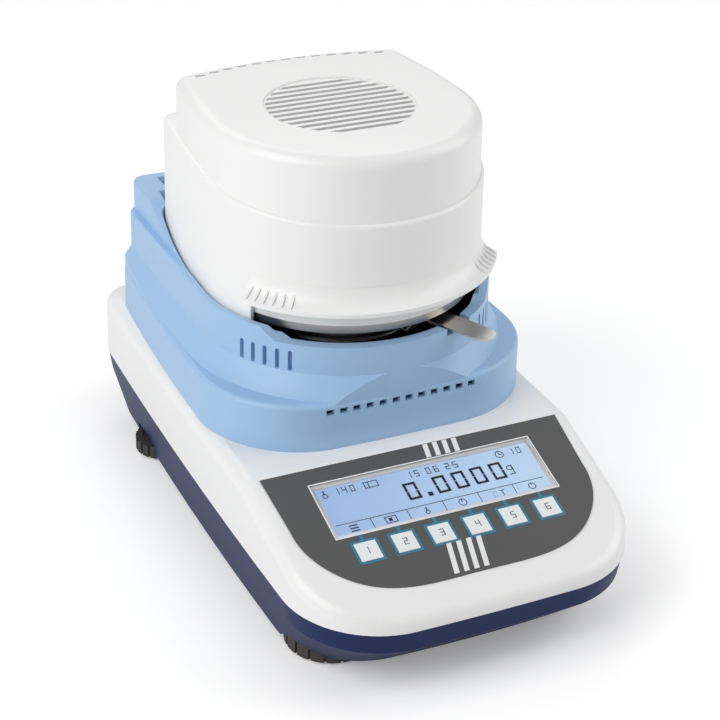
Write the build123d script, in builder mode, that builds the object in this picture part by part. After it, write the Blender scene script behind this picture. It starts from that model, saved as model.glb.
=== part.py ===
"""Halogen moisture analyzer: a small balance with a heated sample chamber and a hinged lid.

Millimetres. X points to the right, Y to the back and Z up. The origin is on the surface that the
analyzer stands on, under the middle of its base.
"""
from build123d import *
import os
from math import cos, radians, sin, tan

os.makedirs("parts", exist_ok=True)

# Walls and clearances
wall = 2.8
fit_gap = 0.3
running_gap = 0.06
lid_gap = 1.5

# Base
base_width = 200.0
base_depth = 370.0
side_bow = 3.5
front_bow = 2.5
front_corner_r = 55.0
rear_corner_r = 20.0
tray_bottom_z = 6.0
seam_z = 42.0
tray_draft = 8.0
seam_groove = 0.4
plateau_z = 82.0
cover_draft = 1.2
cover_edge_r = 8.0
undercut_z = 29.0
front_cut_back = 24.0
rear_cut_back = 21.0

# Sloping panel with the display and the keys, measured down and across from the display's middle
panel_tilt = 16.7
panel_break_y = -74.8
display_down = 33.0
window_w = 135.0
window_h = 38.2
window_t = 1.6
foil_t = 0.6
foil_above = 31.0
foil_below = 61.5
foil_half_w = 92.2
foil_low_half_w = 83.7
foil_corner_r = 37.0
key_size = 12.6
key_proud = 0.5
key_pitch = 21.8
key_down = 31.8
key_count = 6
key_travel = 0.4
key_flange = 1.5
board_t = 1.6

# Chamber housing
housing_half_w = 99.0
housing_rear_half_w = 92.0
housing_front_y = -60.0
housing_front_bow = 3.5
housing_rear_y = 162.0
housing_corner_r = 62.0
housing_rear_r = 16.0
ledge_z = 111.0
ledge_r = 3.0
chamber_y = 25.5
upper_r = 88.8
upper_rear_half_w = 88.6
upper_rear_y = 158.0
upper_draft = 0.8
bowl_flare = 8.0
bowl_h = 14.0
rim_front_z = 141.0
rim_side_z = 147.5
rim_step_y = -26.0
backrest_half_w = 84.5
backrest_front_y = 129.0
backrest_z = 167.0
pot_r = 80.6
pot_wall = 1.0
pot_floor_z = 112.0
vent_count = 12
vent_pitch = 8.0
vent_w = 4.6
vent_h = 3.4
slot_count = 5
slot_w = 2.6
slot_h = 12.5
slot_z = 130.5
slot_turn = 52.0
slot_step = 5.0
spindle_hole_r = 9.0

# Lid
lid_bottom_z = 145.0
lid_low_r = 82.5
lid_low_rear_half_w = 78.0
lid_low_rear_y = 114.0
lid_low_draft = 0.6
lid_up_r = 80.2
lid_up_rear_half_w = 72.0
lid_up_rear_y = 106.5
lid_up_draft = 1.2
lid_rear_bow = 9.0
lid_rear_corner_r = 9.0
lid_wall = 2.5
lid_top_z = 249.0
lid_top_wall = 2.6
lid_top_edge_r = 7.0
step_front_z = 211.0
step_rise = 0.07
step_edge_r = 2.4
lip_angle = 61.0
lip_r = 92.0
lip_z = 161.2
lip_t = 2.4
lip_top_z = 178.0
rib_count = 6
rib_turn = 41.5
rib_step = 3.5
rib_w = 1.4
grille_y = 28.5
grille_r = 43.7
grille_slots = 12
grille_pitch = 6.6
grille_slot_w = 3.4
grille_dip = 2.0
rear_slots = 13
rear_slot_pitch = 9.6

# Lid hinge
hinge_y = 143.0
hinge_z = 158.0
hinge_x = 62.0
pin_r = 2.5
lug_w = 12.0
lug_r = 5.6
lug_slot_w = 14.4
lug_slot_gap = 1.2

# Heater in the lid
band_t = 0.8
band_z = 144.8
frame_r = 79.0
frame_t = 1.2
band_r = frame_r - frame_t
frame_bottom_z = 150.0
frame_top_z = 166.0
glass_r = 75.0
glass_t = 3.0
reflector_top_z = 172.0
lamp_r = 42.0
lamp_tube_r = 5.0
lamp_z = 161.5

# Sample dish, its lifter and its support
dish_r = 46.0
dish_h = 8.0
dish_t = 0.5
dish_flange = 3.0
support_z = 122.0
support_t = 1.5
lifter_t = 1.2
lifter_ring_w = 7.0
lifter_z = 128.2
handle_z = 139.4
handle_w = 15.5
handle_end_r = 112.0
handle_turn = 26.0
notch_w = 21.0
notch_z = 137.0

# Weighing cell and boards
cell_l = 110.0
cell_w = 30.0
cell_h = 30.0
cell_z = 24.0
cell_x = -20.0

# Boards: centre and plan size of each, and the height of their undersides
main_board_at = (0.0, -52.0, 150.0, 62.0)
power_board_at = (0.0, 108.0, 130.0, 76.0)
board_z = 20.0
screw_r = 1.5

# Rear sockets
inlet_x = 62.0
inlet_w = 27.0
inlet_h = 20.0
port_x = -52.0
port_w = 19.0
port_h = 11.0
socket_z = 60.0
socket_lip = 3.0
socket_lip_t = 1.2

# Levelling feet
front_foot = (68.0, -120.0)
rear_foot = (86.0, 104.0)
front_wheel_r = 26.0
rear_wheel_r = 17.5
wheel_h = 8.0
wheel_teeth = 18
pad_t = 1.5
foot_up = 2.0
stud_r = 4.0
stud_top_z = 34.0
stud_low_z = 6.0
pivot_r = 2.5
boss_wall = 4.0


def bowed_box(front_y, rear_y, front_half, rear_half, front_out, side_out, front_r, rear_r, inset):
    """Plan outline with a bowed front, bowed sides, a straight rear and rounded corners, moved inwards by inset."""
    front_y, rear_y = front_y + inset, rear_y - inset
    front_half, rear_half = front_half - inset, rear_half - inset
    middle_y = (front_y + rear_y) / 2
    middle_half = (front_half + rear_half) / 2 + side_out
    with BuildSketch() as outline:
        with BuildLine():
            ThreePointArc((-front_half, front_y), (0, front_y - front_out), (front_half, front_y))
            ThreePointArc((front_half, front_y), (middle_half, middle_y), (rear_half, rear_y))
            Line((rear_half, rear_y), (-rear_half, rear_y))
            ThreePointArc((-rear_half, rear_y), (-middle_half, middle_y), (-front_half, front_y))
        make_face()
        fillet(outline.vertices().sort_by(Axis.Y)[:2], front_r - inset)
        fillet(outline.vertices().sort_by(Axis.Y)[-2:], rear_r - inset)
    return outline.sketch


def round_front(front_r, rear_half, rear_y, rear_out, corner_r, inset):
    """Plan outline with a half-round front about the chamber's axis and a bowed rear, moved inwards by inset."""
    front_r, rear_half, rear_y = front_r - inset, rear_half - inset, rear_y - inset
    with BuildSketch() as outline:
        with BuildLine():
            ThreePointArc((-front_r, chamber_y), (0, chamber_y - front_r), (front_r, chamber_y))
            TangentArc((front_r, chamber_y), (rear_half, rear_y), tangent=(0, 1))
            ThreePointArc((rear_half, rear_y), (0, rear_y + rear_out), (-rear_half, rear_y))
            TangentArc((-front_r, chamber_y), (-rear_half, rear_y), tangent=(0, 1))
        make_face()
        fillet(outline.vertices().sort_by(Axis.Y)[-2:], corner_r - inset)
    return outline.sketch


def base_outline(inset):
    """Plan outline of the base at its seam."""
    half = base_width / 2
    front_y = -base_depth / 2 + front_bow
    return bowed_box(front_y, base_depth / 2, half, half, front_bow, side_bow, front_corner_r, rear_corner_r, inset)


def cover_block(inset):
    """Solid shape of the base's upper half, moved inwards by inset."""
    low_z = seam_z - (0.0 if inset == 0 else 2.0)
    drop = inset / cos(radians(panel_tilt))
    slope = tan(radians(panel_tilt))
    front_y = -base_depth / 2 - 10
    with BuildPart() as block:
        with BuildSketch(Plane.XY.offset(low_z)):
            add(base_outline(inset))
        extrude(amount=plateau_z - low_z + 5, taper=cover_draft)
        with BuildSketch(Plane.YZ):
            with BuildLine():
                flat_y = panel_break_y + (drop - inset) / slope
                front_z = plateau_z - inset - (flat_y - front_y) * slope
                Polyline((front_y, front_z), (flat_y, plateau_z - inset), (base_depth, plateau_z - inset),
                         (base_depth, plateau_z + 60), (front_y, plateau_z + 60), close=True)
            make_face()
        extrude(amount=base_width, both=True, mode=Mode.SUBTRACT)
        top = [e for e in block.edges() if e.center().Z > seam_z + 2 and e.bounding_box().size.X + e.bounding_box().size.Y > 4
               and not (abs(e.center().X) < 1 and abs(e.center().Y - flat_y) < 1)]
        fillet(top, cover_edge_r - inset)
    return block.part


def tray_outline(z, inset):
    """Plan outline of the tray at a height: drafted sides, and ends that are cut back below the undercut's height."""
    draft = (seam_z - z) * tan(radians(tray_draft))
    cut = max(0.0, undercut_z - z) / (undercut_z - tray_bottom_z)
    half = base_width / 2 - seam_groove - draft
    front_y = -base_depth / 2 + front_bow + seam_groove + draft + cut * front_cut_back
    rear_y = base_depth / 2 - seam_groove - draft - cut * rear_cut_back
    return bowed_box(front_y, rear_y, half, half, front_bow + cut * 3.0, side_bow, front_corner_r - draft,
                     rear_corner_r - draft, inset)


def tray_block(inset):
    """Solid shape of the base's lower half, moved inwards by inset."""
    high_z = seam_z + (0.0 if inset == 0 else 2.0)
    with BuildPart() as block:
        for low, high in ((undercut_z + inset / 2, high_z), (tray_bottom_z + inset, undercut_z + inset / 2)):
            with BuildSketch(Plane.XY.offset(low)):
                add(tray_outline(low - inset, inset))
            with BuildSketch(Plane.XY.offset(high)):
                add(tray_outline(high - inset, inset))
            loft(ruled=True)
    return block.part


def lid_low_outline(inset):
    """Plan outline of the lid's wide lower half."""
    return round_front(lid_low_r, lid_low_rear_half_w, lid_low_rear_y, lid_rear_bow, lid_rear_corner_r, inset)


def lid_up_outline(inset):
    """Plan outline of the lid's narrower upper half."""
    return round_front(lid_up_r, lid_up_rear_half_w, lid_up_rear_y, lid_rear_bow, lid_rear_corner_r, inset)


def lid_block(inset):
    """Solid shape of the lid with its sloping step, moved inwards by inset."""
    low_z = lid_bottom_z - (0.0 if inset == 0 else 2.0)
    step_z = step_front_z - inset
    with BuildPart() as block:
        with BuildSketch(Plane.XY.offset(low_z)):
            add(lid_low_outline(inset))
        extrude(amount=step_z + 25 - low_z, taper=lid_low_draft)
        with BuildSketch(Plane.YZ):
            with BuildLine():
                front_y = chamber_y - lid_low_r
                Polyline((front_y - 20, step_z - 20 * step_rise), (front_y + 220, step_z + 220 * step_rise),
                         (front_y + 220, lid_top_z), (front_y - 20, lid_top_z), close=True)
            make_face()
        extrude(amount=base_width, both=True, mode=Mode.SUBTRACT)
        top = block.faces().sort_by(Axis.Z)[-1]
        if inset == 0:
            fillet(top.edges(), step_edge_r)
        with BuildSketch(Plane.XY.offset(step_z - 15)):
            add(lid_up_outline(inset))
        extrude(amount=lid_top_z - (lid_top_wall if inset else 0) - step_z + 15, taper=lid_up_draft)
        fillet(block.faces().sort_by(Axis.Z)[-1].edges(), max(lid_top_edge_r - inset, 1))
    return block.part


# The sloping panel's plane: its origin is the middle of the display
display_y = panel_break_y - display_down * cos(radians(panel_tilt))
display_z = plateau_z - display_down * sin(radians(panel_tilt))
panel = Plane(origin=(0, display_y, display_z), x_dir=(1, 0, 0),
              z_dir=(0, -sin(radians(panel_tilt)), cos(radians(panel_tilt))))
panel_axis = Axis(panel.origin, panel.z_dir)
key_xs = [(i - (key_count - 1) / 2) * key_pitch for i in range(key_count)]


def at_panel(height):
    """The panel's plane moved outwards by height."""
    return panel.offset(height)



def chamber_ring(outer, inner, low_z, high_z):
    """Ring about the chamber's axis between two heights."""
    with BuildPart() as ring:
        with BuildSketch(Plane.XY.offset(low_z)):
            with Locations((0, chamber_y)):
                Circle(outer)
                Circle(inner, mode=Mode.SUBTRACT)
        extrude(amount=high_z - low_z)
    return ring.part


# Base cover: white shell with the openings for the display, the keys and the weighing spindle
with BuildPart() as base_cover:
    add(cover_block(0))
    add(cover_block(wall), mode=Mode.SUBTRACT)
    with BuildSketch(at_panel(-wall - 1)):
        Rectangle(window_w - 4, window_h - 4)
        with Locations([(x, -key_down) for x in key_xs]):
            Rectangle(key_size + 2 * fit_gap, key_size + 2 * fit_gap)
    extrude(amount=wall + 3, mode=Mode.SUBTRACT)
    with BuildSketch(at_panel(foil_t - window_t)):
        Rectangle(window_w + 2 * fit_gap, window_h + 2 * fit_gap)
    extrude(amount=4, mode=Mode.SUBTRACT)
    with BuildSketch(Plane.XY.offset(plateau_z - 10)):
        with Locations((0, chamber_y)):
            Circle(spindle_hole_r)
    extrude(amount=20, mode=Mode.SUBTRACT)
    for grow, depth in ((fit_gap, 15), (socket_lip + fit_gap, socket_lip_t)):
        with BuildSketch(Plane.XZ.offset(-base_depth / 2)):
            with Locations((inlet_x, socket_z)):
                Rectangle(inlet_w + 2 * grow, inlet_h + 2 * grow)
            with Locations((port_x, socket_z)):
                Rectangle(port_w + 2 * grow, port_h + 2 * grow)
        extrude(amount=depth, mode=Mode.SUBTRACT)
base_cover.part.label = "base_cover"
export_step(base_cover.part, "parts/base_cover.step")

# Base tray: dark lower shell, cut back at the front and the rear, with a pocket and a boss per foot
feet = [("front_left", -front_foot[0], front_foot[1], front_wheel_r), ("front_right", front_foot[0], front_foot[1], front_wheel_r),
        ("rear_left", -rear_foot[0], rear_foot[1], rear_wheel_r), ("rear_right", rear_foot[0], rear_foot[1], rear_wheel_r)]
pocket_z = pad_t + wheel_h + foot_up + 1.5
with BuildPart() as pocket_walls:
    for name, x, y, wheel_r in feet:
        with BuildSketch(Plane.XY.offset(tray_bottom_z)):
            with Locations((x, y)):
                Circle(wheel_r + 2 + wall)
        extrude(amount=pocket_z + wall - tray_bottom_z)
    add(tray_block(0.2), mode=Mode.INTERSECT)
with BuildPart() as base_tray:
    add(tray_block(0))
    add(tray_block(wall), mode=Mode.SUBTRACT)
    add(pocket_walls.part)
    for name, x, y, wheel_r in feet:
        with BuildSketch(Plane.XY.offset(pocket_z)):
            with Locations((x, y)):
                Circle(stud_r + running_gap + boss_wall)
        extrude(amount=stud_top_z + 2 - pocket_z)
        with BuildSketch(Plane.XY.offset(0)):
            with Locations((x, y)):
                Circle(wheel_r + 2)
        extrude(amount=pocket_z, mode=Mode.SUBTRACT)
        with BuildSketch(Plane.XY.offset(0)):
            with Locations((x, y)):
                Circle(stud_r + running_gap)
        extrude(amount=seam_z - 1, mode=Mode.SUBTRACT)
    for x, y, w, d in (main_board_at, power_board_at):
        with BuildSketch(Plane.XY.offset(tray_bottom_z + wall - 0.5)):
            with Locations((x, y)):
                with GridLocations(w - 8, d - 8, 2, 2):
                    Circle(3.5)
        extrude(amount=board_z - tray_bottom_z - wall + 0.5)
        with BuildSketch(Plane.XY.offset(board_z - 8)):
            with Locations((x, y)):
                with GridLocations(w - 8, d - 8, 2, 2):
                    Circle(screw_r)
        extrude(amount=8.5, mode=Mode.SUBTRACT)
base_tray.part.label = "base_tray"
export_step(base_tray.part, "parts/base_tray.step")

# Keypad foil: thin sheet on the sloping panel with a bowed lower edge and holes for window and keys
with BuildPart() as keypad_foil:
    with BuildSketch(panel):
        with BuildLine():
            Line((-foil_half_w, foil_above), (foil_half_w, foil_above))
            Line((foil_half_w, foil_above), (foil_half_w - 2.5, -8))
            Spline((foil_half_w - 2.5, -8), (foil_low_half_w, -32), (foil_low_half_w - 20, -53), (0, -foil_below),
                   (20 - foil_low_half_w, -53), (-foil_low_half_w, -32), (2.5 - foil_half_w, -8))
            Line((2.5 - foil_half_w, -8), (-foil_half_w, foil_above))
        make_face()
        Rectangle(window_w + 2 * fit_gap, window_h + 2 * fit_gap, mode=Mode.SUBTRACT)
        with Locations([(x, -key_down) for x in key_xs]):
            Rectangle(key_size + 2 * fit_gap, key_size + 2 * fit_gap, mode=Mode.SUBTRACT)
    extrude(amount=foil_t)
keypad_foil.part.label = "keypad_foil"
export_step(keypad_foil.part, "parts/keypad_foil.step")

# Display window: clear plate set flush into the foil, resting on the cover's ledge
with BuildPart() as display_window:
    with BuildSketch(at_panel(foil_t - window_t)):
        Rectangle(window_w, window_h)
    extrude(amount=window_t)
display_window.part.label = "display_window"
export_step(display_window.part, "parts/display_window.step")

# Display module: glass in a metal bezel on its board, held against the inside of the cover
with BuildPart() as display_module:
    with BuildSketch(at_panel(-wall - 8)):
        Rectangle(window_w + 6, window_h + 8)
    extrude(amount=board_t)
    with BuildSketch(at_panel(-wall - 8 + board_t)):
        Rectangle(window_w + 4, window_h + 6)
    extrude(amount=8 - board_t)
    with BuildSketch(at_panel(-wall)):
        Rectangle(window_w - 5, window_h - 5)
    extrude(amount=1.2)
display_module.part.label = "display_module"
export_step(display_module.part, "parts/display_module.step")

# Keypad board: circuit board with one push switch per key
switch_h = 3.4
key_board_top = -wall - key_flange - 1.6 - switch_h
with BuildPart() as keypad_board:
    with BuildSketch(at_panel(key_board_top - board_t)):
        with Locations((0, -key_down - 3)):
            Rectangle(key_pitch * key_count + 6, 17.5)
    extrude(amount=board_t)
    with BuildSketch(at_panel(key_board_top)):
        with Locations([(x, -key_down) for x in key_xs]):
            Rectangle(6, 6)
    extrude(amount=switch_h - 1)
    with BuildSketch(at_panel(key_board_top + switch_h - 1)):
        with Locations([(x, -key_down) for x in key_xs]):
            Circle(1.7)
    extrude(amount=0.5)
keypad_board.part.label = "keypad_board"
export_step(keypad_board.part, "parts/keypad_board.step")

# Keys: square caps through the foil, each with a retaining flange below the cover and a stem to its switch
for i, x in enumerate(key_xs):
    with BuildPart() as key:
        with BuildSketch(at_panel(-wall - 0.05)):
            with Locations((x, -key_down)):
                Rectangle(key_size, key_size)
        extrude(amount=wall + 0.05 + foil_t + key_proud)
        fillet(key.edges().group_by(panel_axis)[-1], 0.4)
        with BuildSketch(at_panel(-wall - 0.05 - key_flange)):
            with Locations((x, -key_down)):
                Rectangle(key_size + 3, key_size + 2.2)
        extrude(amount=key_flange)
        with BuildSketch(at_panel(key_board_top + switch_h)):
            with Locations((x, -key_down)):
                Circle(2.2)
        extrude(amount=2.2)
    key.part.label = "key_%d" % (i + 1)
    export_step(key.part, "parts/key_%d.step" % (i + 1))

# Levelling feet: a knurled wheel with a stud in the tray's boss, standing on a pad that doesn't turn
for name, x, y, wheel_r in feet:
    with BuildPart() as foot_wheel:
        with BuildSketch(Plane.XY.offset(pad_t)):
            with Locations((x, y)):
                Circle(wheel_r)
                with PolarLocations(wheel_r, wheel_teeth):
                    Rectangle(2.2, 1.6, mode=Mode.SUBTRACT)
        extrude(amount=wheel_h)
        with BuildSketch(Plane.XY.offset(pad_t + wheel_h - 0.8)):
            with Locations((x, y)):
                Circle(wheel_r - 4.4)
                Circle(wheel_r - 6.0, mode=Mode.SUBTRACT)
        extrude(amount=1, mode=Mode.SUBTRACT)
        with BuildSketch(Plane.XY.offset(stud_low_z)):
            with Locations((x, y)):
                Circle(stud_r + 0.02)
        extrude(amount=wheel_h, mode=Mode.SUBTRACT)
        with BuildSketch(Plane.XY.offset(pad_t)):
            with Locations((x, y)):
                Circle(pivot_r + running_gap)
        extrude(amount=wheel_h, mode=Mode.SUBTRACT)
    foot_wheel.part.label = name + "_foot_wheel"
    export_step(foot_wheel.part, "parts/" + name + "_foot_wheel.step")

    with BuildPart() as foot_stud:
        with BuildSketch(Plane.XY.offset(stud_low_z)):
            with Locations((x, y)):
                Circle(stud_r)
        extrude(amount=stud_top_z - stud_low_z)
        chamfer(foot_stud.edges().group_by(Axis.Z)[-1], 0.8)
    foot_stud.part.label = name + "_foot_stud"
    export_step(foot_stud.part, "parts/" + name + "_foot_stud.step")

    with BuildPart() as foot_pad:
        with BuildSketch(Plane.XY):
            with Locations((x, y)):
                Circle(wheel_r - 4)
        extrude(amount=pad_t - 0.05)
        chamfer(foot_pad.edges().group_by(Axis.Z)[0], 0.5)
        with BuildSketch(Plane.XY.offset(pad_t - 0.05)):
            with Locations((x, y)):
                Circle(pivot_r)
        extrude(amount=stud_low_z - pad_t)
    foot_pad.part.label = name + "_foot_pad"
    export_step(foot_pad.part, "parts/" + name + "_foot_pad.step")


def housing_outline(inset):
    """Plan outline of the chamber housing where it stands on the base."""
    return bowed_box(housing_front_y, housing_rear_y, housing_half_w, housing_rear_half_w,
                     housing_front_bow, side_bow, housing_corner_r, housing_rear_r, inset)


def upper_outline(inset):
    """Plan outline of the chamber housing above its ledge."""
    return round_front(upper_r, upper_rear_half_w, upper_rear_y, 3.0, 14.0, inset)


# Chamber housing: blue ring around the chamber on a wide skirt, with the hinge block behind
with BuildPart() as housing_skirt:
    with BuildSketch(Plane.XY.offset(plateau_z)):
        add(housing_outline(0))
    extrude(amount=ledge_z - plateau_z, taper=0.8)
    fillet(housing_skirt.faces().sort_by(Axis.Z)[-1].edges(), ledge_r)
with BuildPart() as housing_bowl:
    with BuildSketch(Plane.XY.offset(ledge_z - 1)):
        add(upper_outline(-bowl_flare))
    with BuildSketch(Plane.XY.offset(ledge_z - 1 + bowl_h)):
        add(upper_outline(0.3))
    loft(ruled=True)
    with BuildSketch(Plane.XY.offset(ledge_z - 2)):
        add(housing_outline(0.8))
    extrude(amount=40, mode=Mode.INTERSECT)
with BuildPart() as housing_upper:
    with BuildSketch(Plane.XY.offset(ledge_z - 3)):
        add(upper_outline(0))
    extrude(amount=rim_side_z - ledge_z + 3, taper=upper_draft)
    fillet(housing_upper.faces().sort_by(Axis.Z)[-1].edges(), 1.2)
    with BuildSketch(Plane.YZ):
        with BuildLine():
            Polyline((-120, rim_front_z), (rim_step_y - 8, rim_front_z), (rim_step_y, rim_side_z + 0.01),
                     (rim_step_y, rim_side_z + 20), (-120, rim_side_z + 20), close=True)
        make_face()
    extrude(amount=base_width, both=True, mode=Mode.SUBTRACT)
with BuildPart() as backrest:
    with BuildSketch(Plane.XY.offset(ledge_z)):
        with Locations((0, (60 + upper_rear_y) / 2)):
            Rectangle(2 * backrest_half_w, upper_rear_y - 60)
    extrude(amount=backrest_z - ledge_z, taper=0.5)
    fillet(backrest.edges().filter_by(lambda e: e.center().Y > 120 and e.bounding_box().size.Z > 20), 8)
    fillet(backrest.faces().sort_by(Axis.Z)[-1].edges().sort_by(Axis.Y)[1:], 2)
    with BuildSketch(Plane.YZ):
        with BuildLine():
            Spline((58, rim_side_z), (76, rim_side_z + 2.3), (93, 154), (115, 163), (130, backrest_z + 0.1))
            Polyline((130, backrest_z + 0.1), (130, backrest_z + 20), (58, backrest_z + 20), (58, rim_side_z))
        make_face()
    extrude(amount=base_width, both=True, mode=Mode.SUBTRACT)
with BuildPart() as chamber_housing:
    add(housing_skirt.part)
    add(housing_bowl.part)
    add(housing_upper.part)
    add(backrest.part)
    with BuildSketch(Plane.XY.offset(plateau_z)):
        with Locations((0, chamber_y)):
            Circle(pot_r + pot_wall + 0.1)
    extrude(amount=70, mode=Mode.SUBTRACT)
    with BuildSketch(Plane.XY.offset(lid_bottom_z - 1)):
        add(lid_low_outline(-lid_gap))
    extrude(amount=60, mode=Mode.SUBTRACT)
    with BuildSketch(Plane.XY.offset(plateau_z)):
        add(housing_outline(wall + 0.4))
        with Locations((0, chamber_y)):
            Circle(pot_r + pot_wall + 2.4, mode=Mode.SUBTRACT)
    extrude(amount=ledge_z - wall - plateau_z, mode=Mode.SUBTRACT)
    with BuildSketch(Plane.XY.offset(plateau_z)):
        with Locations((0, 134)):
            Rectangle(150, 40)
    extrude(amount=backrest_z - 30 - plateau_z, mode=Mode.SUBTRACT)
    with BuildSketch(Plane.XY.offset(lid_bottom_z - 1)):
        with Locations((0, backrest_front_y - 10)):
            Rectangle(2 * lid_low_rear_half_w - 6, 20)
    extrude(amount=60, mode=Mode.SUBTRACT)
    with BuildSketch(Plane.XY.offset(hinge_z - lug_r - lug_slot_gap)):
        with Locations((-hinge_x, hinge_y - 6), (hinge_x, hinge_y - 6)):
            Rectangle(lug_slot_w, 2 * (lug_r + lug_slot_gap) + 12)
    extrude(amount=30, mode=Mode.SUBTRACT)
    with BuildSketch(Plane.YZ):
        with Locations((hinge_y, hinge_z)):
            Circle(pin_r)
    extrude(amount=hinge_x + 14, both=True, mode=Mode.SUBTRACT)
    with BuildSketch(Plane.XY.offset(notch_z)):
        with Locations(Location((0, chamber_y), handle_turn - 90)):
            with Locations((upper_r - 5, 0)):
                Rectangle(24, notch_w)
    extrude(amount=20, mode=Mode.SUBTRACT)
    with BuildSketch(Plane.XZ.offset(-housing_front_y - 8)):
        with Locations((0, ledge_z - 5.2)):
            with GridLocations(vent_pitch, 1, vent_count, 1):
                Rectangle(vent_w, vent_h)
    extrude(amount=12, mode=Mode.SUBTRACT)
    for turn in [side * (slot_turn + slot_step * (i - (slot_count - 1) / 2)) for side in (-1, 1) for i in range(slot_count)]:
        out = (sin(radians(turn)), -cos(radians(turn)), 0)
        with BuildSketch(Plane(origin=(upper_r * out[0], chamber_y + upper_r * out[1], slot_z), x_dir=(-out[1], out[0], 0), z_dir=out)):
            SlotOverall(slot_h, slot_w, rotation=90)
        extrude(amount=4, both=True, mode=Mode.SUBTRACT)
chamber_housing.part.label = "chamber_housing"
export_step(chamber_housing.part, "parts/chamber_housing.step")

# Hinge pins: one steel pin across each lug slot
with BuildPart() as hinge_pins:
    for x in (-hinge_x, hinge_x):
        with BuildSketch(Plane.YZ.offset(x - 14)):
            with Locations((hinge_y, hinge_z)):
                Circle(pin_r)
        extrude(amount=28)
hinge_pins.part.label = "hinge_pins"
export_step(hinge_pins.part, "parts/hinge_pins.step")

# Chamber pot: thin black cup that lines the chamber, with a hole for the spindle
with BuildPart() as chamber_pot:
    with BuildSketch(Plane.XY.offset(pot_floor_z)):
        with Locations((0, chamber_y)):
            Circle(pot_r + pot_wall)
    extrude(amount=rim_front_z - 1.5 - pot_floor_z)
    with BuildSketch(Plane.XY.offset(pot_floor_z + pot_wall)):
        with Locations((0, chamber_y)):
            Circle(pot_r)
    extrude(amount=40, mode=Mode.SUBTRACT)
    with BuildSketch(Plane.XY.offset(pot_floor_z - 1)):
        with Locations((0, chamber_y)):
            Circle(spindle_hole_r)
    extrude(amount=5, mode=Mode.SUBTRACT)
    with BuildSketch(Plane.XY.offset(notch_z)):
        with Locations(Location((0, chamber_y), handle_turn - 90)):
            with Locations((pot_r, 0)):
                Rectangle(12, notch_w)
    extrude(amount=20, mode=Mode.SUBTRACT)
    with BuildSketch(Plane.XY.offset(plateau_z)):
        with Locations((0, chamber_y)):
            with PolarLocations(60, 3, start_angle=90):
                Circle(4)
    extrude(amount=pot_floor_z - plateau_z)
chamber_pot.part.label = "chamber_pot"
export_step(chamber_pot.part, "parts/chamber_pot.step")

# Heat shield: bright disc on the floor of the pot, on three spacers
with BuildPart() as heat_shield:
    with BuildSketch(Plane.XY.offset(pot_floor_z + pot_wall)):
        with Locations((0, chamber_y)):
            with PolarLocations(56, 3, start_angle=90):
                Circle(3)
    extrude(amount=2.5)
    with BuildSketch(Plane.XY.offset(pot_floor_z + pot_wall + 2.5)):
        with Locations((0, chamber_y)):
            Circle(68)
            Circle(spindle_hole_r + 3, mode=Mode.SUBTRACT)
    extrude(amount=0.8)
heat_shield.part.label = "heat_shield"
export_step(heat_shield.part, "parts/heat_shield.step")

# Weighing cell: aluminium block with its parallel guides cut out, on a plate in the tray
with BuildPart() as weighing_cell:
    with BuildSketch(Plane.XZ.offset(-chamber_y - cell_w / 2)):
        with Locations((cell_x, cell_z + cell_h / 2)):
            Rectangle(cell_l, cell_h)
            Rectangle(cell_l - 44, 9, mode=Mode.SUBTRACT)
            with GridLocations(cell_l - 44, 0.001, 2, 1):
                Circle(8, mode=Mode.SUBTRACT)
    extrude(amount=cell_w)
    with BuildSketch(Plane.XY.offset(cell_z - 5)):
        with Locations((cell_x - cell_l / 2 + 12, chamber_y)):
            Rectangle(24, cell_w)
    extrude(amount=5)
    with BuildSketch(Plane.XY.offset(cell_z + cell_h)):
        with Locations((cell_x + cell_l / 2 - 12, chamber_y)):
            Rectangle(24, cell_w)
    extrude(amount=4)
weighing_cell.part.label = "weighing_cell"
export_step(weighing_cell.part, "parts/weighing_cell.step")

# Cell plate: steel plate on four pillars that ties the weighing cell to the tray
tray_floor_z = tray_bottom_z + wall
with BuildPart() as cell_plate:
    with BuildSketch(Plane.XY.offset(cell_z - 8)):
        with Locations((cell_x, chamber_y)):
            Rectangle(cell_l + 20, cell_w + 20)
    extrude(amount=3)
    with BuildSketch(Plane.XY.offset(tray_floor_z)):
        with Locations((cell_x, chamber_y)):
            with GridLocations(cell_l + 6, cell_w + 6, 2, 2):
                Circle(5)
    extrude(amount=cell_z - 8 - tray_floor_z)
cell_plate.part.label = "cell_plate"
export_step(cell_plate.part, "parts/cell_plate.step")

# Pan support: spindle up from the weighing cell with three arms that carry the sample dish
arm_base_z = cell_z + cell_h + 4
with BuildPart() as pan_support:
    with BuildSketch(Plane.XY.offset(arm_base_z)):
        with Locations((cell_x + cell_l / 2 - 12, chamber_y)):
            Rectangle(20, 20)
    extrude(amount=3)
    with BuildSketch(Plane.XY.offset(arm_base_z)):
        with Locations(((cell_x + cell_l / 2 - 12) / 2, chamber_y)):
            Rectangle(cell_x + cell_l / 2 - 12 + 12, 10)
    extrude(amount=3)
    with BuildSketch(Plane.XY.offset(arm_base_z)):
        with Locations((0, chamber_y)):
            Circle(4)
    extrude(amount=support_z - support_t - arm_base_z)
    with BuildSketch(Plane.XY.offset(support_z - support_t)):
        with Locations((0, chamber_y)):
            Circle(8)
            with PolarLocations(18, 3, start_angle=90):
                Rectangle(36, 5)
    extrude(amount=support_t)
pan_support.part.label = "pan_support"
export_step(pan_support.part, "parts/pan_support.step")

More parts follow.
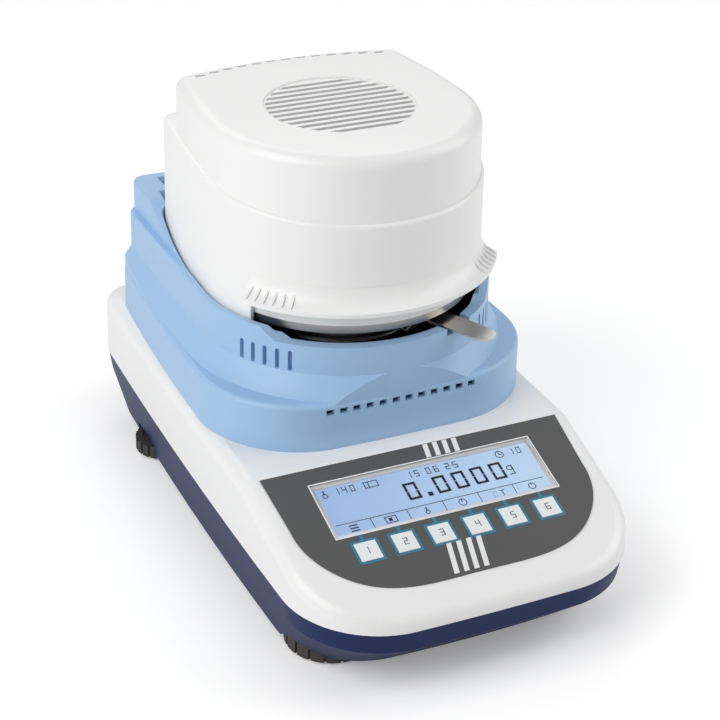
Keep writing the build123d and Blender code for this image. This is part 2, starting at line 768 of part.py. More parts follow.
# Sample dish: thin aluminium dish with a flange
with BuildPart() as sample_dish:
    with BuildSketch(Plane.XY.offset(support_z)):
        with Locations((0, chamber_y)):
            Circle(dish_r)
    extrude(amount=dish_h)
    fillet(sample_dish.edges().group_by(Axis.Z)[0], 0.8)
    with BuildSketch(Plane.XY.offset(support_z + dish_h - dish_t)):
        with Locations((0, chamber_y)):
            Circle(dish_r + dish_flange)
    extrude(amount=dish_t)
    with BuildSketch(Plane.XY.offset(support_z + dish_t)):
        with Locations((0, chamber_y)):
            Circle(dish_r - dish_t)
    extrude(amount=dish_h, mode=Mode.SUBTRACT)
sample_dish.part.label = "sample_dish"
export_step(sample_dish.part, "parts/sample_dish.step")

# Dish lifter: ring under the dish's flange on a handle that leaves through the notch in the rim
flange_z = support_z + dish_h - dish_t
with BuildPart() as dish_lifter:
    with BuildSketch(Plane.XY.offset(flange_z - lifter_t)):
        with Locations((0, chamber_y)):
            Circle(dish_r + fit_gap + lifter_ring_w)
            Circle(dish_r + fit_gap, mode=Mode.SUBTRACT)
    extrude(amount=lifter_t)
    along = Plane(origin=(0, chamber_y, 0), x_dir=(sin(radians(handle_turn)), -cos(radians(handle_turn)), 0),
                  z_dir=(-cos(radians(handle_turn)), -sin(radians(handle_turn)), 0))
    with BuildSketch(along):
        with BuildLine():
            root = dish_r + fit_gap + lifter_ring_w
            Polyline((root - 2, flange_z - lifter_t), (root + 4, flange_z - lifter_t), (root + 11, handle_z),
                     (handle_end_r, handle_z), (handle_end_r, handle_z + lifter_t), (root + 10.5, handle_z + lifter_t),
                     (root + 3.5, flange_z), (root - 2, flange_z), close=True)
        make_face()
    extrude(amount=handle_w / 2, both=True)
    fillet(dish_lifter.edges().filter_by(Axis.Z).sort_by(Axis.Y)[:2], handle_w / 2 - 0.3)
dish_lifter.part.label = "dish_lifter"
export_step(dish_lifter.part, "parts/dish_lifter.step")

# Lid cover: white shell with a sloping step, top grille, rear slots, flared lip in front and hinge lugs
lip_start = -90 - lip_angle
with BuildPart() as lid_lip:
    start = Plane(origin=(0, chamber_y, 0), x_dir=(cos(radians(lip_start)), sin(radians(lip_start)), 0),
                  z_dir=(sin(radians(lip_start)), -cos(radians(lip_start)), 0))
    with BuildSketch(start):
        with BuildLine():
            r0 = lid_low_r - 0.4
            Line((r0 - lid_wall, lip_top_z), (r0, lip_top_z))
            ThreePointArc((r0, lip_top_z), (r0 + 2.4, lip_z + 7.2), (lip_r, lip_z + lip_t))
            Line((lip_r, lip_z + lip_t), (lip_r, lip_z))
            ThreePointArc((lip_r, lip_z), (r0 + 0.6, lip_z + 5.2), (r0 - lid_wall, lip_top_z))
        make_face()
    revolve(axis=Axis((0, chamber_y, 0), (0, 0, 1)), revolution_arc=2 * lip_angle)
    for turn in [side * (rib_turn + rib_step * i) for side in (-1, 1) for i in range(rib_count)]:
        across = Plane(origin=(0, chamber_y, 0), x_dir=(sin(radians(turn)), -cos(radians(turn)), 0),
                       z_dir=(-cos(radians(turn)), -sin(radians(turn)), 0))
        with BuildSketch(across):
            with BuildLine():
                Polyline((lip_r - 8, lip_z + lip_t + 1.2), (lip_r - 0.6, lip_z + lip_t - 1), (lip_r - 0.6, lip_z + lip_t + 1.0),
                         (lip_r - 8, lip_z + lip_t + 5.6), close=True)
            make_face()
        extrude(amount=rib_w / 2, both=True)
with BuildPart() as lid_cover:
    add(lid_block(0))
    add(lid_block(lid_wall), mode=Mode.SUBTRACT)
    with BuildSketch(Plane.XY.offset(lid_bottom_z - 2)):
        with BuildLine():
            reach = 140.0
            side = (reach * sin(radians(lip_angle)), chamber_y - reach * cos(radians(lip_angle)))
            Polyline((0, chamber_y), side, (side[0], -200), (-side[0], -200), (-side[0], side[1]), close=True)
        make_face()
    extrude(amount=lip_top_z - 1 - lid_bottom_z, mode=Mode.SUBTRACT)
    add(lid_lip.part)
    with BuildSketch(Plane.XY.offset(lid_top_z - 1.0)):
        with Locations((0, grille_y)):
            Circle(grille_r)
    extrude(amount=2, mode=Mode.SUBTRACT)
    with BuildSketch(Plane.XY.offset(lid_top_z - 6)):
        with Locations((0, grille_y)):
            with GridLocations(1, grille_pitch, 1, grille_slots):
                Rectangle(2 * grille_r + 4, grille_slot_w)
            Circle(grille_r - 1.5, mode=Mode.INTERSECT)
    extrude(amount=8, mode=Mode.SUBTRACT)
    with BuildSketch(Plane.XY.offset(lid_top_z - 6)):
        for i in range(rear_slots):
            t = (i - (rear_slots - 1) / 2) / ((rear_slots - 1) / 2)
            with Locations((t * (rear_slots - 1) / 2 * rear_slot_pitch, lid_up_rear_y + lid_rear_bow * (1 - t * t) - 7.5)):
                Rectangle(6.2, 2.6)
    extrude(amount=8, mode=Mode.SUBTRACT)
    for x in (-hinge_x, hinge_x):
        with BuildSketch(Plane.YZ.offset(x - lug_w / 2)):
            with Locations((hinge_y, hinge_z)):
                Circle(lug_r)
            with Locations(((hinge_y + lid_low_rear_y - 1) / 2, hinge_z)):
                Rectangle(hinge_y - lid_low_rear_y + 1, 2 * lug_r)
            with Locations((hinge_y, hinge_z)):
                Circle(pin_r + running_gap, mode=Mode.SUBTRACT)
        extrude(amount=lug_w)
lid_cover.part.label = "lid_cover"
export_step(lid_cover.part, "parts/lid_cover.step")

# Lid frame: white ring inside the lid that carries the heater, with a flange under the cover's wall
with BuildPart() as lid_frame:
    add(chamber_ring(frame_r, frame_r - frame_t, frame_bottom_z, frame_top_z))
    add(chamber_ring(frame_r, glass_r - 2, frame_top_z - 1, frame_top_z + 1))
    with BuildSketch(Plane.XY.offset(frame_top_z - 1)):
        with Locations((0, chamber_y)):
            with PolarLocations(frame_r - 0.9, 8, start_angle=22.5):
                Rectangle(2.4, 8)
        with Locations((0, chamber_y)):
            Circle(frame_r - 1, mode=Mode.SUBTRACT)
    extrude(amount=2)
lid_frame.part.label = "lid_frame"
export_step(lid_frame.part, "parts/lid_frame.step")

# Steel band: bright lower edge of the heater, clamping the protective glass from below
with BuildPart() as steel_band:
    add(chamber_ring(band_r, band_r - band_t, band_z, frame_bottom_z + 6))
    add(chamber_ring(band_r, glass_r - 3, frame_bottom_z, frame_bottom_z + band_t))
steel_band.part.label = "steel_band"
export_step(steel_band.part, "parts/steel_band.step")

# Protective glass: round pane between the lamp and the sample
with BuildPart() as protective_glass:
    add(chamber_ring(glass_r, 5, frame_bottom_z + band_t, frame_bottom_z + band_t + glass_t))
protective_glass.part.label = "protective_glass"
export_step(protective_glass.part, "parts/protective_glass.step")

# Reflector: bright pan over the lamp, resting on the glass
reflector_low_z = frame_bottom_z + band_t + glass_t
with BuildPart() as reflector:
    with BuildSketch(start):
        with BuildLine():
            Polyline((glass_r - 1, reflector_low_z), (glass_r - 1.8, reflector_low_z), (glass_r - 10, reflector_top_z - 0.8),
                     (14, reflector_top_z - 0.8), (14, reflector_top_z), (glass_r - 9.4, reflector_top_z), close=True)
        make_face()
    revolve(axis=Axis((0, chamber_y, 0), (0, 0, 1)), revolution_arc=360)
reflector.part.label = "reflector"
export_step(reflector.part, "parts/reflector.step")

# Halogen lamp: ring-shaped glass tube with two ends led up through the reflector
with BuildPart() as halogen_lamp:
    with BuildSketch(Plane.XZ.offset(-chamber_y)):
        with Locations((lamp_r, lamp_z)):
            Circle(lamp_tube_r)
    revolve(axis=Axis((0, chamber_y, 0), (0, 0, 1)), revolution_arc=330)
halogen_lamp.part.label = "halogen_lamp"
export_step(halogen_lamp.part, "parts/halogen_lamp.step")

# Lamp holders: two ceramic blocks that hang the lamp from the reflector
with BuildPart() as lamp_holders:
    for turn in (12, 318):
        hold = Location((lamp_r * cos(radians(turn)), chamber_y + lamp_r * sin(radians(turn)), 0), (0, 0, turn))
        with BuildSketch(Plane.XY.offset(lamp_z + 1)):
            with Locations(hold):
                Rectangle(15, 9)
        extrude(amount=reflector_top_z - 0.8 - lamp_z - 1)
    add(halogen_lamp.part, mode=Mode.SUBTRACT)
lamp_holders.part.label = "lamp_holders"
export_step(lamp_holders.part, "parts/lamp_holders.step")

# Temperature sensor: thin rod under the glass, held by a block on the steel band
sensor_z = 147.6
sensor_turn = 200.0
with BuildPart() as temperature_sensor:
    reach = Plane(origin=(0, chamber_y, sensor_z), x_dir=(0, 0, 1),
                  z_dir=(cos(radians(sensor_turn)), sin(radians(sensor_turn)), 0))
    with BuildSketch(reach.offset(28)):
        Circle(1.2)
    extrude(amount=40)
    with BuildSketch(reach.offset(28)):
        Circle(2)
    extrude(amount=6)
    with BuildSketch(reach.offset(66)):
        Rectangle(4, 9)
    extrude(amount=band_r - band_t - 66.3)
temperature_sensor.part.label = "temperature_sensor"
export_step(temperature_sensor.part, "parts/temperature_sensor.step")


def board(at, blocks):
    """Circuit board on its standoffs, with screw holes and blocks given as x, y, width, depth, height."""
    x, y, w, d = at
    with BuildPart() as plate:
        with BuildSketch(Plane.XY.offset(board_z)):
            with Locations((x, y)):
                Rectangle(w, d)
                with GridLocations(w - 8, d - 8, 2, 2):
                    Circle(screw_r + 0.2, mode=Mode.SUBTRACT)
        extrude(amount=board_t)
        for bx, by, bw, bd, bh in blocks:
            with BuildSketch(Plane.XY.offset(board_z + board_t)):
                with Locations((x + bx, y + by)):
                    Rectangle(bw, bd)
            extrude(amount=bh)
    return plate.part


# Main board: processor, memory and connectors
with BuildPart() as main_board:
    add(board(main_board_at, [(-30, 5, 22, 22, 2.5), (5, 12, 14, 10, 2), (5, -12, 18, 8, 2), (45, -5, 12, 30, 6),
                              (-60, -8, 8, 26, 7), (28, 20, 20, 6, 8)]))
main_board.part.label = "main_board"
export_step(main_board.part, "parts/main_board.step")

# Power board: transformer, capacitor, relay and heat sink
with BuildPart() as power_board:
    add(board(power_board_at, [(-38, 8, 34, 30, 26), (0, 18, 16, 16, 22), (4, -14, 20, 14, 14), (42, 0, 6, 44, 24),
                               (26, 20, 12, 18, 10)]))
power_board.part.label = "power_board"
export_step(power_board.part, "parts/power_board.step")

# Board screws: eight equal screws through both boards into the tray's standoffs
with BuildPart() as board_screws:
    for x, y, w, d in (main_board_at, power_board_at):
        with BuildSketch(Plane.XY.offset(board_z - 6)):
            with Locations((x, y)):
                with GridLocations(w - 8, d - 8, 2, 2):
                    Circle(screw_r)
        extrude(amount=6 + board_t)
        with BuildSketch(Plane.XY.offset(board_z + board_t)):
            with Locations((x, y)):
                with GridLocations(w - 8, d - 8, 2, 2):
                    Circle(2.8)
        extrude(amount=2)
board_screws.part.label = "board_screws"
export_step(board_screws.part, "parts/board_screws.step")


def socket(x, w, h, depth):
    """Rear socket: box with an open cavity and an outer lip let into the back of the cover."""
    with BuildPart() as shell:
        with BuildSketch(Plane.XZ.offset(-base_depth / 2)):
            with Locations((x, socket_z)):
                Rectangle(w, h)
        extrude(amount=depth)
        with BuildSketch(Plane.XZ.offset(-base_depth / 2)):
            with Locations((x, socket_z)):
                Rectangle(w + 2 * socket_lip, h + 2 * socket_lip)
        extrude(amount=socket_lip_t)
        with BuildSketch(Plane.XZ.offset(-base_depth / 2)):
            with Locations((x, socket_z)):
                Rectangle(w - 4, h - 4)
        extrude(amount=depth - 4, mode=Mode.SUBTRACT)
    return shell.part


# Mains inlet: appliance socket with three blades
with BuildPart() as mains_inlet:
    add(socket(inlet_x, inlet_w, inlet_h, 26))
    with BuildSketch(Plane.XZ.offset(-base_depth / 2 + 4)):
        with Locations((inlet_x - 7, socket_z - 2), (inlet_x + 7, socket_z - 2), (inlet_x, socket_z + 2)):
            Rectangle(1.6, 4)
    extrude(amount=18)
mains_inlet.part.label = "mains_inlet"
export_step(mains_inlet.part, "parts/mains_inlet.step")

# Data port: nine-way socket beside the mains inlet
with BuildPart() as data_port:
    add(socket(port_x, port_w, port_h, 12))
data_port.part.label = "data_port"
export_step(data_port.part, "parts/data_port.step")
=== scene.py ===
"""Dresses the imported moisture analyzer: shells, chamber, lid, display, keys, light and camera."""
from math import cos, pi, radians, sin

import bmesh
import bpy
from mathutils import Euler, Matrix, Vector


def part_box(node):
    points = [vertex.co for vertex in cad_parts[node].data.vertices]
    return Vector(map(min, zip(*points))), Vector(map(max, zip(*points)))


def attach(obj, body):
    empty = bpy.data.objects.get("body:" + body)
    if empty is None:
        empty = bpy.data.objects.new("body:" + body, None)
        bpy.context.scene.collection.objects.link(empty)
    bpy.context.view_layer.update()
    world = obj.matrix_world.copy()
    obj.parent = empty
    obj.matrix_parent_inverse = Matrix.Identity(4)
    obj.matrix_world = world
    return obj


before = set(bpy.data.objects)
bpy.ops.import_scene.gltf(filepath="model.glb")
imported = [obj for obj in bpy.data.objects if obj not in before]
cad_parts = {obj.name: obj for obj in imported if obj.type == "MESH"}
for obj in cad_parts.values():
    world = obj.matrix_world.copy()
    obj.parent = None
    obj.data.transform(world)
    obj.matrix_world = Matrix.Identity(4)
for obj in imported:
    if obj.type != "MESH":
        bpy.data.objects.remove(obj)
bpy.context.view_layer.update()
scene = bpy.context.scene


# Base: a white cover over a navy tray, both moulded in ABS with a fine even grain.
# The two shells meet in a shadow line all round.
def new_effect(name, inputs, outputs):
    """Empty node group with number inputs and the given outputs."""
    group = bpy.data.node_groups.new(name, "ShaderNodeTree")
    for input_name in inputs:
        group.interface.new_socket(input_name, in_out="INPUT", socket_type="NodeSocketFloat")
    for output_name, kind in outputs:
        group.interface.new_socket(output_name, in_out="OUTPUT", socket_type=kind)
    n = group.nodes
    return group, n, group.links, n.new("NodeGroupInput"), n.new("NodeGroupOutput")


def make_grain():
    """Fine grain of moulded or cast surfaces, as a normal."""
    group, n, links, given, out = new_effect(
        "surface_grain", ("Scale", "Strength", "Distance"), (("Normal", "NodeSocketVector"),))
    coord = n.new("ShaderNodeTexCoord")
    noise = n.new("ShaderNodeTexNoise")
    noise.inputs["Detail"].default_value = 3.0
    bump = n.new("ShaderNodeBump")
    links.new(coord.outputs["Object"], noise.inputs["Vector"])
    links.new(given.outputs["Scale"], noise.inputs["Scale"])
    links.new(given.outputs["Strength"], bump.inputs["Strength"])
    links.new(given.outputs["Distance"], bump.inputs["Distance"])
    links.new(noise.outputs["Fac"], bump.inputs["Height"])
    links.new(bump.outputs["Normal"], out.inputs["Normal"])
    return group


surface_grain = make_grain()
fine = (surface_grain, {"Scale": 2600.0, "Strength": 0.10, "Distance": 0.00006})
coarse = (surface_grain, {"Scale": 900.0, "Strength": 0.35, "Distance": 0.00015})


def surface(name, colour, roughness, metallic=0.0, effect=None, coat=0.0, **more):
    """Principled material; an effect is a node group with the values of its inputs."""
    material = bpy.data.materials.new(name)
    material.use_nodes = True
    material.diffuse_color = (*colour, 1.0)
    shader = material.node_tree.nodes["Principled BSDF"]
    shader.inputs["Base Color"].default_value = (*colour, 1.0)
    shader.inputs["Roughness"].default_value = roughness
    shader.inputs["Metallic"].default_value = metallic
    shader.inputs["Coat Weight"].default_value = coat
    shader.inputs["Coat Roughness"].default_value = 0.15
    for socket, value in more.items():
        shader.inputs[socket.replace("_", " ")].default_value = value
    if effect:
        group, values = effect
        node = material.node_tree.nodes.new("ShaderNodeGroup")
        node.node_tree = group
        for input_name, value in values.items():
            node.inputs[input_name].default_value = value
        for output in node.outputs:
            material.node_tree.links.new(output, shader.inputs[output.name])
    return material


def dress(material, *names):
    """Gives the material to the named CAD nodes."""
    for name in names:
        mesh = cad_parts[name].data
        mesh.materials.clear()
        mesh.materials.append(material)


dress(surface("white_plastic", (0.83, 0.83, 0.825), 0.34, effect=fine, coat=0.15), "base_cover")
dress(surface("navy_plastic", (0.003, 0.015, 0.085), 0.42, effect=fine, Specular_IOR_Level=0.25), "base_tray")


# Feet: a black knurled wheel on a plain steel stud, over a rubber pad that stands on the bench.
# The front pair is larger than the rear one.
plain_steel = surface("plain_steel", (0.56, 0.56, 0.57), 0.30, metallic=1.0, effect=fine)
wheel_plastic = surface("wheel_plastic", (0.040, 0.036, 0.031), 0.52, effect=coarse)
pad_rubber = surface("pad_rubber", (0.012, 0.012, 0.012), 0.75, effect=coarse)
for foot in ("front_left_foot", "front_right_foot", "rear_left_foot", "rear_right_foot"):
    dress(wheel_plastic, foot + "_wheel")
    dress(plain_steel, foot + "_stud")
    dress(pad_rubber, foot + "_pad")


# Chamber: a pale blue housing of moulded plastic round a black pot with a bright shield on its floor.
# Two steel pins in its hinge block carry the lid.
dress(surface("blue_plastic", (0.33, 0.52, 0.76), 0.42, effect=fine, coat=0.05), "chamber_housing")
dress(surface("pot_black", (0.012, 0.006, 0.005), 0.42, effect=fine), "chamber_pot")
dress(plain_steel, "heat_shield", "hinge_pins")


# Balance: a milled aluminium cell on its plate, the spindle with the pan support, a pressed dish,
# and the brushed lifter whose handle reaches out over the rim.
def make_brushing():
    """Brushed metal, drawn out along the horizontal, as roughness and normal."""
    group, n, links, given, out = new_effect(
        "brushed_metal", ("Smoothest", "Roughest"),
        (("Roughness", "NodeSocketFloat"), ("Normal", "NodeSocketVector")))
    coord = n.new("ShaderNodeTexCoord")
    mapping = n.new("ShaderNodeMapping")
    mapping.inputs["Scale"].default_value = (60.0, 60.0, 2600.0)
    noise = n.new("ShaderNodeTexNoise")
    noise.inputs["Scale"].default_value = 1.0
    noise.inputs["Detail"].default_value = 4.0
    ramp = n.new("ShaderNodeMapRange")
    bump = n.new("ShaderNodeBump")
    bump.inputs["Strength"].default_value = 0.12
    bump.inputs["Distance"].default_value = 0.0001
    links.new(coord.outputs["Object"], mapping.inputs["Vector"])
    links.new(mapping.outputs["Vector"], noise.inputs["Vector"])
    links.new(noise.outputs["Fac"], ramp.inputs["Value"])
    links.new(given.outputs["Smoothest"], ramp.inputs["To Min"])
    links.new(given.outputs["Roughest"], ramp.inputs["To Max"])
    links.new(noise.outputs["Fac"], bump.inputs["Height"])
    links.new(ramp.outputs["Result"], out.inputs["Roughness"])
    links.new(bump.outputs["Normal"], out.inputs["Normal"])
    return group


brushed = (make_brushing(), {"Smoothest": 0.22, "Roughest": 0.38})
dress(surface("cell_metal", (0.70, 0.71, 0.72), 0.38, metallic=1.0, effect=fine), "weighing_cell")
dress(plain_steel, "cell_plate", "pan_support")
dress(surface("dish_metal", (0.80, 0.80, 0.81), 0.26, metallic=1.0, effect=fine), "sample_dish")
dress(surface("brushed_steel", (0.60, 0.58, 0.555), 0.28, metallic=1.0, effect=brushed), "dish_lifter")


# Lid: a white moulded cover with an inner ring pressed into it.
# A band of brushed steel is fixed to the ring and shows under the lip.
dress(surface("lid_white", (0.84, 0.84, 0.835), 0.36, effect=fine, coat=0.12), "lid_cover", "lid_frame")
dress(surface("band_steel", (0.36, 0.345, 0.325), 0.24, metallic=1.0, effect=brushed), "steel_band")


# Heater: a ring lamp of quartz in two ceramic holders, under a pressed reflector and behind a glass pane.
# The temperature sensor reaches in beside it.
dress(surface("pane_glass", (0.95, 0.99, 0.97), 0.03, Transmission_Weight=1.0, IOR=1.45), "protective_glass")
dress(surface("lamp_glass", (0.97, 0.95, 0.90), 0.05, Transmission_Weight=0.9, IOR=1.45), "halogen_lamp")
dress(surface("ceramic", (0.78, 0.75, 0.68), 0.60, effect=coarse), "lamp_holders")
dress(plain_steel, "reflector", "temperature_sensor")


# Electronics: green boards held by steel screws, inside the shells.
# The mains inlet and the data port are set in the rear wall.
board_green = surface("board_green", (0.010, 0.11, 0.035), 0.35, effect=coarse)
dress(board_green, "keypad_board", "main_board", "power_board")
dress(plain_steel, "board_screws", "data_port")
dress(surface("black_plastic", (0.018, 0.018, 0.018), 0.45, effect=fine), "mains_inlet")


# Display: a pale blue graphic module behind a clear window, darker towards its upper left corner.
# Its marks are flat bars just above the ground, given in millimetres from the window's middle.
def make_tint(dark, light, low_at, high_at):
    """Colour that runs from dark to light between two points of the object."""
    group, n, links, _, out = new_effect("display_tint", (), (("Base Color", "NodeSocketColor"),))
    way = Vector(high_at) - Vector(low_at)
    coord = n.new("ShaderNodeTexCoord")
    along = n.new("ShaderNodeVectorMath")
    along.operation = "DOT_PRODUCT"
    along.inputs[1].default_value = way
    ramp = n.new("ShaderNodeMapRange")
    ramp.inputs["From Min"].default_value = Vector(low_at).dot(way)
    ramp.inputs["From Max"].default_value = Vector(high_at).dot(way)
    mix = n.new("ShaderNodeMix")
    mix.data_type = "RGBA"
    mix.inputs["A"].default_value = (*dark, 1.0)
    mix.inputs["B"].default_value = (*light, 1.0)
    links.new(coord.outputs["Object"], along.inputs[0])
    links.new(along.outputs["Value"], ramp.inputs["Value"])
    links.new(ramp.outputs["Result"], mix.inputs["Factor"])
    links.new(mix.outputs["Result"], out.inputs["Base Color"])
    return group


window_low, window_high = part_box("display_window")
display_tint = make_tint((0.34, 0.50, 0.80), (0.58, 0.76, 0.97),
                         (window_low.x, window_high.y, window_high.z),
                         (window_high.x, window_low.y, window_low.z))
lcd_light = surface("lcd_light", (0.46, 0.64, 0.92), 0.30, effect=(display_tint, {}),
                    Emission_Color=(0.46, 0.64, 0.92, 1.0), Emission_Strength=0.12)
dress(surface("window_clear", (1.0, 1.0, 1.0), 0.04, Transmission_Weight=1.0, IOR=1.08), "display_window")
dress(lcd_light, "display_module")

panel_tilt = radians(16.7)
window_proud = 0.0008
panel_out = Vector((0.0, -sin(panel_tilt), cos(panel_tilt)))
foil_middle = (window_low + window_high) / 2 + panel_out * window_proud
on_panel = Matrix.Translation(foil_middle) @ Matrix.Rotation(panel_tilt, 4, "X") @ Matrix.Scale(0.001, 4)


def bar(bm, x0, x1, y0, y1, level, lean=0.0):
    """Adds one flat bar on the panel, between two heights; lean moves its upper edge sideways."""
    z0, z1 = level
    made = bmesh.ops.create_cube(bm, size=1.0)["verts"]
    bmesh.ops.scale(bm, vec=(x1 - x0, y1 - y0, z1 - z0), verts=made)
    bmesh.ops.translate(bm, vec=(lean, 0.0, 0.0), verts=[v for v in made if v.co.y > 0.0])
    bmesh.ops.translate(bm, vec=((x0 + x1) / 2, (y0 + y1) / 2, (z0 + z1) / 2), verts=made)
    bmesh.ops.transform(bm, matrix=on_panel, verts=made)


def box_line(bm, x0, x1, y0, y1, width, level):
    """Adds a rectangle drawn with four bars."""
    bar(bm, x0, x1, y0, y0 + width, level)
    bar(bm, x0, x1, y1 - width, y1, level)
    bar(bm, x0, x0 + width, y0 + width, y1 - width, level)
    bar(bm, x1 - width, x1, y0 + width, y1 - width, level)


def circle_line(bm, x, y, radius, width, level, steps):
    """Adds a flat ring, spun from its cross-section."""
    z0, z1 = level
    before = set(bm.verts)
    corners = [bm.verts.new((x + r, y, z)) for r, z in
               ((radius - width, z0), (radius, z0), (radius, z1), (radius - width, z1))]
    edges = [bm.edges.new((corners[i - 1], corners[i])) for i in range(4)]
    bmesh.ops.spin(bm, geom=corners + edges, cent=(x, y, 0.0), axis=(0.0, 0.0, 1.0),
                   angle=2 * pi, steps=steps, use_merge=True)
    made = [v for v in bm.verts if v not in before]
    bmesh.ops.recalc_face_normals(bm, faces=list({f for v in made for f in v.link_faces}))
    bmesh.ops.transform(bm, matrix=on_panel, verts=made)


def number(bm, text, x, y, height, width, stroke, level):
    """Adds seven-bar digits from the left; a dot takes its own short place."""
    lit = {"0": "abcdef", "1": "bc", "2": "abged", "3": "abgcd", "4": "fgbc",
           "5": "afgcd", "6": "afgedc"}
    middle = height / 2
    gap = 0.2
    places = {"a": (0, width, height - stroke, height),
              "g": (0, width, middle - stroke / 2, middle + stroke / 2),
              "d": (0, width, 0, stroke), "f": (0, stroke, middle, height), "e": (0, stroke, 0, middle),
              "b": (width - stroke, width, middle, height), "c": (width - stroke, width, 0, middle)}
    for letter in text:
        if letter == ".":
            bar(bm, x, x + 1.5 * stroke, y, y + 1.5 * stroke, level)
            x += 3.2 * stroke
            continue
        for x0, x1, y0, y1 in (places[s] for s in lit[letter]):
            bar(bm, x + x0 + gap, x + x1 - gap, y + y0 + gap, y + y1 - gap, level)
        x += width + 2.0 * stroke


def add_piece(name, bm, material, body):
    """Makes an object from the bmesh, at the origin, riding the body."""
    mesh = bpy.data.meshes.new(name)
    bm.normal_update()
    bm.to_mesh(mesh)
    bm.free()
    mesh.materials.append(material)
    piece = bpy.data.objects.new(name, mesh)
    scene.collection.objects.link(piece)
    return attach(piece, body)


window_half_w = 67.5
window_half_h = 19.1
ground_edge = 1.2
ground = bmesh.new()
bar(ground, ground_edge - window_half_w, window_half_w - ground_edge,
    ground_edge - window_half_h, window_half_h - ground_edge, (-2.1, -2.0))
add_piece("display_ground", ground, lcd_light, "base")

ink = (-2.0, -1.92)
fine_line = 0.5
marks = bmesh.new()

# The weight, and above it the small numbers of the status row.
number(marks, "0.0000", -17.0, -4.5, 12.5, 8.0, 1.9, ink)
for text, x in (("140", -55.5), ("15", -11.5), ("06", 0.5), ("25", 12.5), ("10", 53.0)):
    number(marks, text, x, 10.5, 5.0, 3.0, 0.9, ink)

# Status row: a clock, a battery and a thermometer.
circle_line(marks, 47.0, 12.8, 2.6, fine_line, ink, 40)
bar(marks, 46.7, 47.2, 12.6, 14.8, ink)
bar(marks, 46.7, 48.7, 12.4, 12.9, ink)
box_line(marks, -37.5, -29.0, 10.5, 15.1, fine_line, ink)
bar(marks, -35.0, -34.5, 10.5, 15.1, ink)
circle_line(marks, -61.2, 11.5, 1.6, fine_line, ink, 24)
bar(marks, -61.6, -60.8, 12.5, 15.5, ink)

# The unit behind the weight: a bowl with a hooked stem.
circle_line(marks, 48.0, 2.0, 1.9, 0.6, ink, 24)
bar(marks, 49.3, 49.9, -2.5, 3.9, ink)
bar(marks, 46.3, 49.9, -2.9, -2.3, ink)

# Soft-key row: a rule with five short dividers, and one icon over each key.
key_pitch = 21.8
bar(marks, -64.0, 64.0, -9.8, -9.4, ink)
for i in range(5):
    divider_x = (i - 2) * key_pitch
    bar(marks, divider_x - 0.2, divider_x + 0.2, -17.5, -9.8, ink)
for i in range(3):
    bar(marks, -57.0, -52.0, -16.0 + i * 1.9, -15.2 + i * 1.9, ink)
box_line(marks, -36.2, -29.2, -16.0, -11.4, fine_line, ink)
bar(marks, -34.1, -32.0, -14.8, -12.6, ink)
circle_line(marks, -10.9, -14.6, 1.4, fine_line, ink, 24)
bar(marks, -11.3, -10.5, -13.5, -11.2, ink)
circle_line(marks, 10.9, -13.7, 2.5, fine_line, ink, 32)
bar(marks, 10.6, 11.1, -13.8, -11.7, ink)
number(marks, "0", 30.0, -15.8, 4.2, 2.5, 0.5, ink)
bar(marks, 34.5, 37.6, -12.2, -11.7, ink)
bar(marks, 35.8, 36.3, -15.8, -12.2, ink)
circle_line(marks, 54.5, -13.9, 2.3, fine_line, ink, 32)
bar(marks, 54.3, 54.7, -13.5, -11.2, ink)
add_piece("display_marks", marks, surface("lcd_ink", (0.012, 0.014, 0.022), 0.45), "base")


# Keypad foil: a dark grey foil glued to the sloping panel.
# A white border round the window and plain slanted bars are printed on it.
print_level = (-0.05, 0.04)
border_edge = 1.1
border_width = 0.8
stripe_pitch = 6.0
stripe_w = 3.0
dress(surface("foil_grey", (0.085, 0.085, 0.085), 0.42, effect=fine), "keypad_foil")
border = bmesh.new()
box_line(border, -window_half_w - border_edge, window_half_w + border_edge,
         -window_half_h - border_edge, window_half_h + border_edge, border_width, print_level)
for i in range(4):
    upper_x = 4.5 + i * stripe_pitch
    lower_x = -16.5 + i * stripe_pitch
    bar(border, upper_x, upper_x + stripe_w, 20.7, 30.6, print_level, lean=1.6)
    bar(border, lower_x, lower_x + stripe_w, -59.5, -39.0, print_level, lean=4.5)
add_piece("foil_print", border, surface("foil_white", (0.80, 0.80, 0.80), 0.42), "base")


# Keys: six white push keys in teal printed frames, each joined to the display by a short teal line.
# The numerals ride the keys and sit on their tops.
key_half = 6.3
key_row = -31.8
frame_half = key_half + 1.4
key_top = (0.48, 0.54)
key_white = surface("key_white", (0.80, 0.82, 0.82), 0.40, effect=fine)
legend_ink = surface("legend_ink", (0.03, 0.03, 0.035), 0.50)
key_places = [(i + 1, (i - 2.5) * key_pitch) for i in range(6)]

teal = bmesh.new()
for key, x in key_places:
    box_line(teal, x - frame_half, x + frame_half, key_row - frame_half, key_row + frame_half,
             1.0, print_level)
    bar(teal, x - 0.9, x + 0.9, key_row + frame_half, -20.4, print_level)
add_piece("key_frames", teal, surface("key_teal", (0.004, 0.23, 0.40), 0.40), "base")

for key, x in key_places:
    dress(key_white, "key_%d" % key)
    legend = bmesh.new()
    narrow = 1.0 if key == 1 else 0.0
    number(legend, str(key), x - 1.3 - narrow, key_row - 2.3, 5.0, 3.0, 0.9, key_top)
    add_piece("key_legend_%d" % key, legend, legend_ink, "key_%d_body" % key)


# Studio: a white floor and sky, lifted to white for the camera alone.
# Three soft area lights stand at the left, the right and the rear.
floor_bm = bmesh.new()
bmesh.ops.create_grid(floor_bm, x_segments=1, y_segments=1, size=6.0)
floor_mesh = bpy.data.meshes.new("floor")
floor_bm.to_mesh(floor_mesh)
floor_bm.free()
floor = bpy.data.objects.new("floor", floor_mesh)
scene.collection.objects.link(floor)


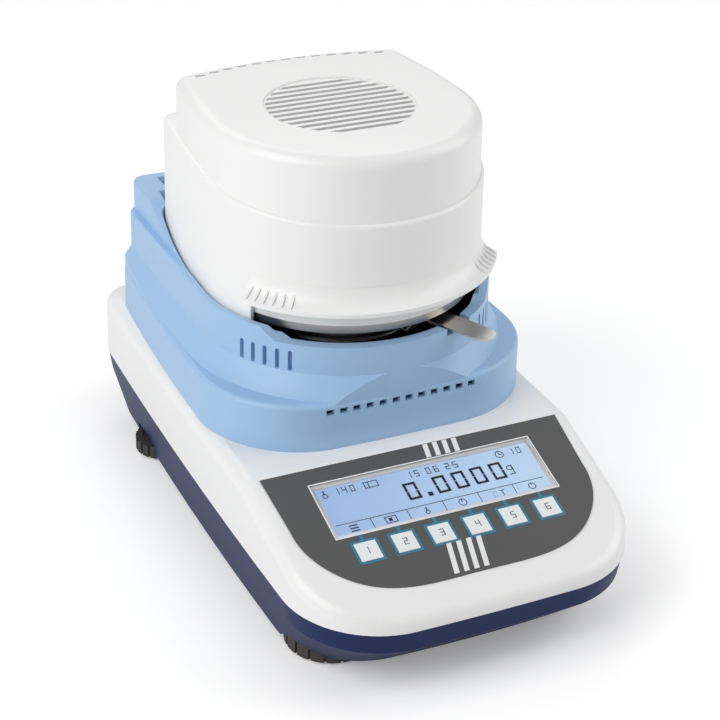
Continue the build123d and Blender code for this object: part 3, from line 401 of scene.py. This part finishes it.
def lift_for_camera(tree, socket, plain, seen):
    """Feeds a strength that is plain for the object's light and another where the camera looks."""
    path = tree.nodes.new("ShaderNodeLightPath")
    strength = tree.nodes.new("ShaderNodeMapRange")
    strength.inputs["To Min"].default_value = plain
    strength.inputs["To Max"].default_value = seen
    tree.links.new(path.outputs["Is Camera Ray"], strength.inputs["Value"])
    tree.links.new(strength.outputs["Result"], socket)


floor_white = surface("floor_white", (0.90, 0.90, 0.90), 0.75, Emission_Color=(1.0, 1.0, 1.0, 1.0))
floor_tree = floor_white.node_tree
lift_for_camera(floor_tree, floor_tree.nodes["Principled BSDF"].inputs["Emission Strength"], 0.0, 0.22)
floor_mesh.materials.append(floor_white)

world = bpy.data.worlds.new("studio")
scene.world = world
world.use_nodes = True
sky = world.node_tree.nodes["Background"]
sky.inputs["Color"].default_value = (1.0, 1.0, 1.0, 1.0)
lift_for_camera(world.node_tree, sky.inputs["Strength"], 0.42, 1.0)


def area(name, place, target, size, power):
    """Area light at place, turned to the target."""
    data = bpy.data.lights.new(name, "AREA")
    data.shape = "RECTANGLE"
    data.size, data.size_y = size
    data.energy = power
    light = bpy.data.objects.new(name, data)
    light.location = place
    light.rotation_euler = (Vector(target) - Vector(place)).to_track_quat("-Z", "Y").to_euler()
    scene.collection.objects.link(light)
    return light


chamber_middle = (0.0, 0.0, 0.1)
lights = [
    area("key_light", (-1.2, -0.3, 1.1), chamber_middle, (1.2, 1.2), 15.0),
    area("right_fill", (1.4, -0.3, 0.9), chamber_middle, (1.0, 1.4), 11.0),
    area("back_light", (0.2, 1.4, 1.3), (0.0, 0.0, 0.15), (1.6, 0.8), 6.0),
]


# Camera: at the photo's angle, place and field of view.
# They were solved from the object's outlines.
camera_data = bpy.data.cameras.new("camera")
camera_data.sensor_width = 36.0
camera_data.lens = 91.48
camera = bpy.data.objects.new("camera", camera_data)
camera.location = (-0.40586, -0.85703, 0.61753)
camera.rotation_euler = Euler((1.06982, -0.02259, -0.43268))
scene.collection.objects.link(camera)
scene.camera = camera
scene.view_settings.view_transform = "Standard"
